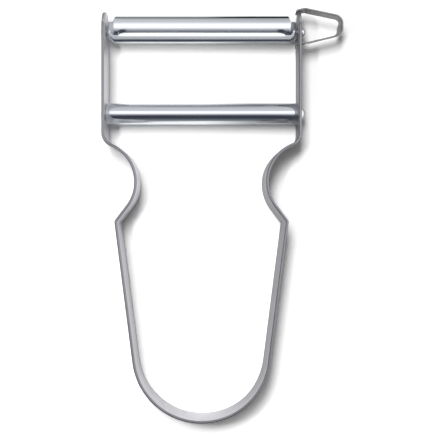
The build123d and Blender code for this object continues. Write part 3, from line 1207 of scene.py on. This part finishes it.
@dataclass
class Studio:
    """The white table, the soft light and the camera that looks straight down."""

    camera_x: float = 6.134
    camera_y: float = 50.245
    camera_height: float = 210.2
    focal_pixels: float = 743.76
    centre_x_pixel: float = 224.3
    centre_y_pixel: float = 236.0
    sensor: float = 36.0
    nearest: float = 5.0
    table_half: float = 3.0
    floor_colour: float = 0.86
    floor_shown: float = 0.90
    # The most that the seen and the mirrored table are brightened far from the panel
    most_seen_gain: float = 8.0
    most_mirrored_gain: float = 3.0
    lamp_watts: float = 1.5
    lamp_place: Point = (-0.055, 0.225, 0.40)
    lamp_size: Pair = (0.13, 0.24)
    side_watts: float = 0.14
    side_place: Point = (-0.085, 0.072, 0.20)
    side_size: Pair = (0.02, 0.05)
    room_light: float = 0.15
    # Only the metal sees what follows. It was fitted to the bands on the metal in the photograph,
    # and isn't taken from a room that is known
    floor_mirrored: float = 0.85
    # Painted shade on the table beyond the blade, which only the metal mirrors: where it starts and
    # ends, and how dark it gets
    far_shade_start: float = 114.0
    far_shade_end: float = 126.0
    far_shade_level: float = 0.21
    # Painted shade on the mirrored table to the right, and to the left of the grip, where it ends at
    # its top
    right_end: float = 14.0
    right_shade: float = 0.48
    left_start: float = -1.0
    left_end: float = -11.0
    left_shade: float = 0.22
    grip_clear: float = 66.0
    grip_full: float = 50.0
    # The walls' brightness, the sines where they take over from the arch, and their own blend
    right_wall: float = 1.3
    left_wall: float = 0.12
    wall_start: float = 0.42
    wall_full: float = 0.75
    wall_blend: float = 0.4
    # Dark parts of the mirrored room are a little greener and bluer than bright ones
    tint_end: float = 0.6
    dark_green: float = 1.08
    dark_blue: float = 1.35
    bright_blue: float = 1.03
    brightest: float = 2.0
    # The arch from the heel's side over the top to the blade's side: sine and brightness
    room_arch: tuple[Pair, ...] = (
        (-1.0, 0.40), (-0.98, 0.24), (-0.90, 0.11), (-0.75, 0.05), (-0.50, 0.06), (-0.38, 0.16),
        (-0.24, 0.50), (-0.08, 1.15), (0.05, 1.6), (0.28, 1.5), (0.38, 1.0), (0.50, 0.74),
        (0.82, 0.72), (0.92, 0.60), (0.975, 0.42), (1.0, 0.27))

    def place_camera(self) -> None:
        """Put the camera where the photograph was taken from."""
        data = bpy.data.cameras.new("camera")
        data.sensor_width = self.sensor
        data.lens = self.sensor * self.focal_pixels / PHOTO_WIDTH
        data.shift_x = (PHOTO_WIDTH / 2 - self.centre_x_pixel) / PHOTO_WIDTH
        data.shift_y = (self.centre_y_pixel - PHOTO_WIDTH / 2) / PHOTO_WIDTH
        data.clip_start = self.nearest * MM
        camera = add_object("camera", data)
        camera.location = (self.camera_x * MM, self.camera_y * MM, self.camera_height * MM)
        bpy.context.scene.camera = camera

    def lay_floor(self) -> None:
        """Lay the table: plain white to the camera, and with painted shade where the metal mirrors it.
        """
        mesh = bpy.data.meshes.new("table")
        half = self.table_half
        mesh.from_pydata([(-half, -half, 0), (half, -half, 0), (half, half, 0), (-half, half, 0)],
                         [], [(0, 1, 2, 3)])
        floor = add_object("table", mesh)
        material = bpy.data.materials.new("white_table")
        material.use_nodes = True
        graph = Graph(material.node_tree)
        path = graph.add("ShaderNodeLightPath").outputs
        place = graph.add("ShaderNodeTexCoord").outputs["Object"]
        parts = graph.add("ShaderNodeSeparateXYZ", {0: place}).outputs
        # Painted shade that only glossy rays see: beyond the blade, to the right, and left of the grip
        far_shaded = graph.span(parts["Y"], self.far_shade_start * MM, self.far_shade_end * MM,
                         self.floor_mirrored, self.far_shade_level)
        right = graph.span(parts["X"], 0.0, self.right_end * MM, high=self.right_shade)
        leftward = graph.span(parts["X"], self.left_start * MM, self.left_end * MM,
                              high=self.left_shade)
        grip = graph.span(parts["Y"], self.grip_clear * MM, self.grip_full * MM)
        shaded = graph.math("ADD", right, graph.math("MULTIPLY", leftward, grip))
        # The panel lights the table less further out, and this gain makes up for it
        foot = graph.add("ShaderNodeVectorMath", {0: place, 1: (*self.lamp_place[:2], 0)},
                         operation="DISTANCE").outputs["Value"]
        reach = graph.math("DIVIDE", foot, self.lamp_place[2])
        loss = graph.math("ADD", graph.math("MULTIPLY", reach, reach), 1.0)
        gain = graph.math("MULTIPLY", loss, loss)
        seen = graph.math("MINIMUM", gain, self.most_seen_gain)
        glossed = graph.math("MINIMUM", gain, self.most_mirrored_gain)
        shown = graph.math("SUBTRACT", graph.math("MULTIPLY", seen, self.floor_shown),
                           self.floor_colour)
        # The table as the metal mirrors it, with its painted shade, raised by the same gain
        mirrored = graph.math("MULTIPLY", glossed, graph.math("SUBTRACT", far_shaded, shaded))
        level = graph.math("SUBTRACT", mirrored, self.floor_colour)
        shade = graph.math("ADD", graph.math("MULTIPLY", path["Is Camera Ray"], shown),
                           graph.math("MULTIPLY", path["Is Glossy Ray"], level))
        shade = graph.math("ADD", shade, self.floor_colour)
        surface = graph.add("ShaderNodeBsdfDiffuse", {"Color": shade})
        graph.add("ShaderNodeOutputMaterial", {"Surface": surface.outputs[0]})
        mesh.materials.append(material)

    def light(self) -> None:
        """Light the table with one soft panel from the upper left and a weak one from the left."""
        self.hang("panel", self.lamp_place, self.lamp_size, self.lamp_watts)
        self.hang("side_panel", self.side_place, self.side_size, self.side_watts)
        self.room()

    def hang(self, name: str, place: Point, size: Pair, watts: float) -> None:
        """Hang a soft panel that faces the table.

        Args:
            name: The panel's name.
            place: Where its middle is, in metres.
            size: Its width and its length, in metres.
            watts: Its power.
        """
        panel = bpy.data.lights.new(name, "AREA")
        panel.shape = "RECTANGLE"
        panel.size, panel.size_y = size
        panel.energy = watts
        lamp = add_object(name, panel)
        lamp.location = place
        # The metal mirrors the room instead, whose bright part stands in for the panels
        lamp.visible_glossy = False
        lamp.visible_camera = False

    def room(self) -> None:
        """Colour the room that the metal mirrors, and add a little even light and a white backdrop."""
        world = bpy.data.worlds.new("room")
        bpy.context.scene.world = world
        world.use_nodes = True
        graph = Graph(world.node_tree)
        direction = graph.add("ShaderNodeTexCoord").outputs["Generated"]
        parts = graph.add("ShaderNodeSeparateXYZ", {0: direction}).outputs
        place = graph.math("MULTIPLY_ADD", parts["Y"], 0.5, 0.5)
        arch = graph.add("ShaderNodeValToRGB", {"Fac": place})
        ramp = arch.color_ramp
        # A new ramp has two stops already, and it runs from 0 to 1 where a sine runs from -1
        for i, (sine, level) in enumerate(self.room_arch):
            position = sine / 2 + 0.5
            stop = ramp.elements[i] if i < 2 else ramp.elements.new(position)
            stop.position = position
            share = level / self.brightest
            stop.color = (share, share, share, 1)
        over = graph.math("MULTIPLY", arch.outputs[0], self.brightest)
        reach = graph.span(graph.math("ABSOLUTE", parts["X"]), self.wall_start, self.wall_full,
                           curve="SMOOTHSTEP")
        wall = graph.span(parts["X"], -self.wall_blend, self.wall_blend, self.left_wall,
                          self.right_wall)
        level = graph.between(reach, over, wall)
        green = graph.span(level, 0.0, self.tint_end, self.dark_green, 1.0)
        blue = graph.span(level, 0.0, self.tint_end, self.dark_blue, self.bright_blue)
        tint = graph.add("ShaderNodeCombineColor", {
            0: level, 1: graph.math("MULTIPLY", level, green),
            2: graph.math("MULTIPLY", level, blue)})
        path = graph.add("ShaderNodeLightPath").outputs
        mirrored = graph.add("ShaderNodeBackground", {"Color": tint.outputs[0]})
        even = graph.add("ShaderNodeBackground",
                         {"Color": (1, 1, 1, 1), "Strength": self.room_light})
        backdrop = graph.add("ShaderNodeBackground", {"Color": (1, 1, 1, 1)})
        # A glossy ray that follows a diffuse bounce sees the even room
        direct = graph.math("LESS_THAN", path["Diffuse Depth"], 0.5)
        inside = graph.add("ShaderNodeMixShader", {
            0: graph.math("MULTIPLY", path["Is Glossy Ray"], direct),
            1: even.outputs[0], 2: mirrored.outputs[0]})
        chosen = graph.add("ShaderNodeMixShader", {
            0: path["Is Camera Ray"], 1: inside.outputs[0], 2: backdrop.outputs[0]})
        graph.add("ShaderNodeOutputWorld", {"Surface": chosen.outputs[0]})


def main() -> None:
    """Build the peeler's pieces in order, then the studio."""
    logging.basicConfig(level=logging.INFO, format="%(name)s: %(message)s")
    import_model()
    tree = bent_strip_tree()
    Bow().dress(tree, SATIN_STRIP.build())
    EyeRemover().dress(tree, SATIN_LOOP.build())
    Crossbar().dress(POLISHED_BAR.build(), RIVET_DOME.build())
    BladePins().dress(PIN_DOME.build())
    Blade().dress(POLISHED_BLADE.build())
    studio = Studio()
    studio.lay_floor()
    studio.light()
    studio.place_camera()
    bpy.context.scene.view_settings.view_transform = "Standard"


if __name__ == "__main__":
    main()
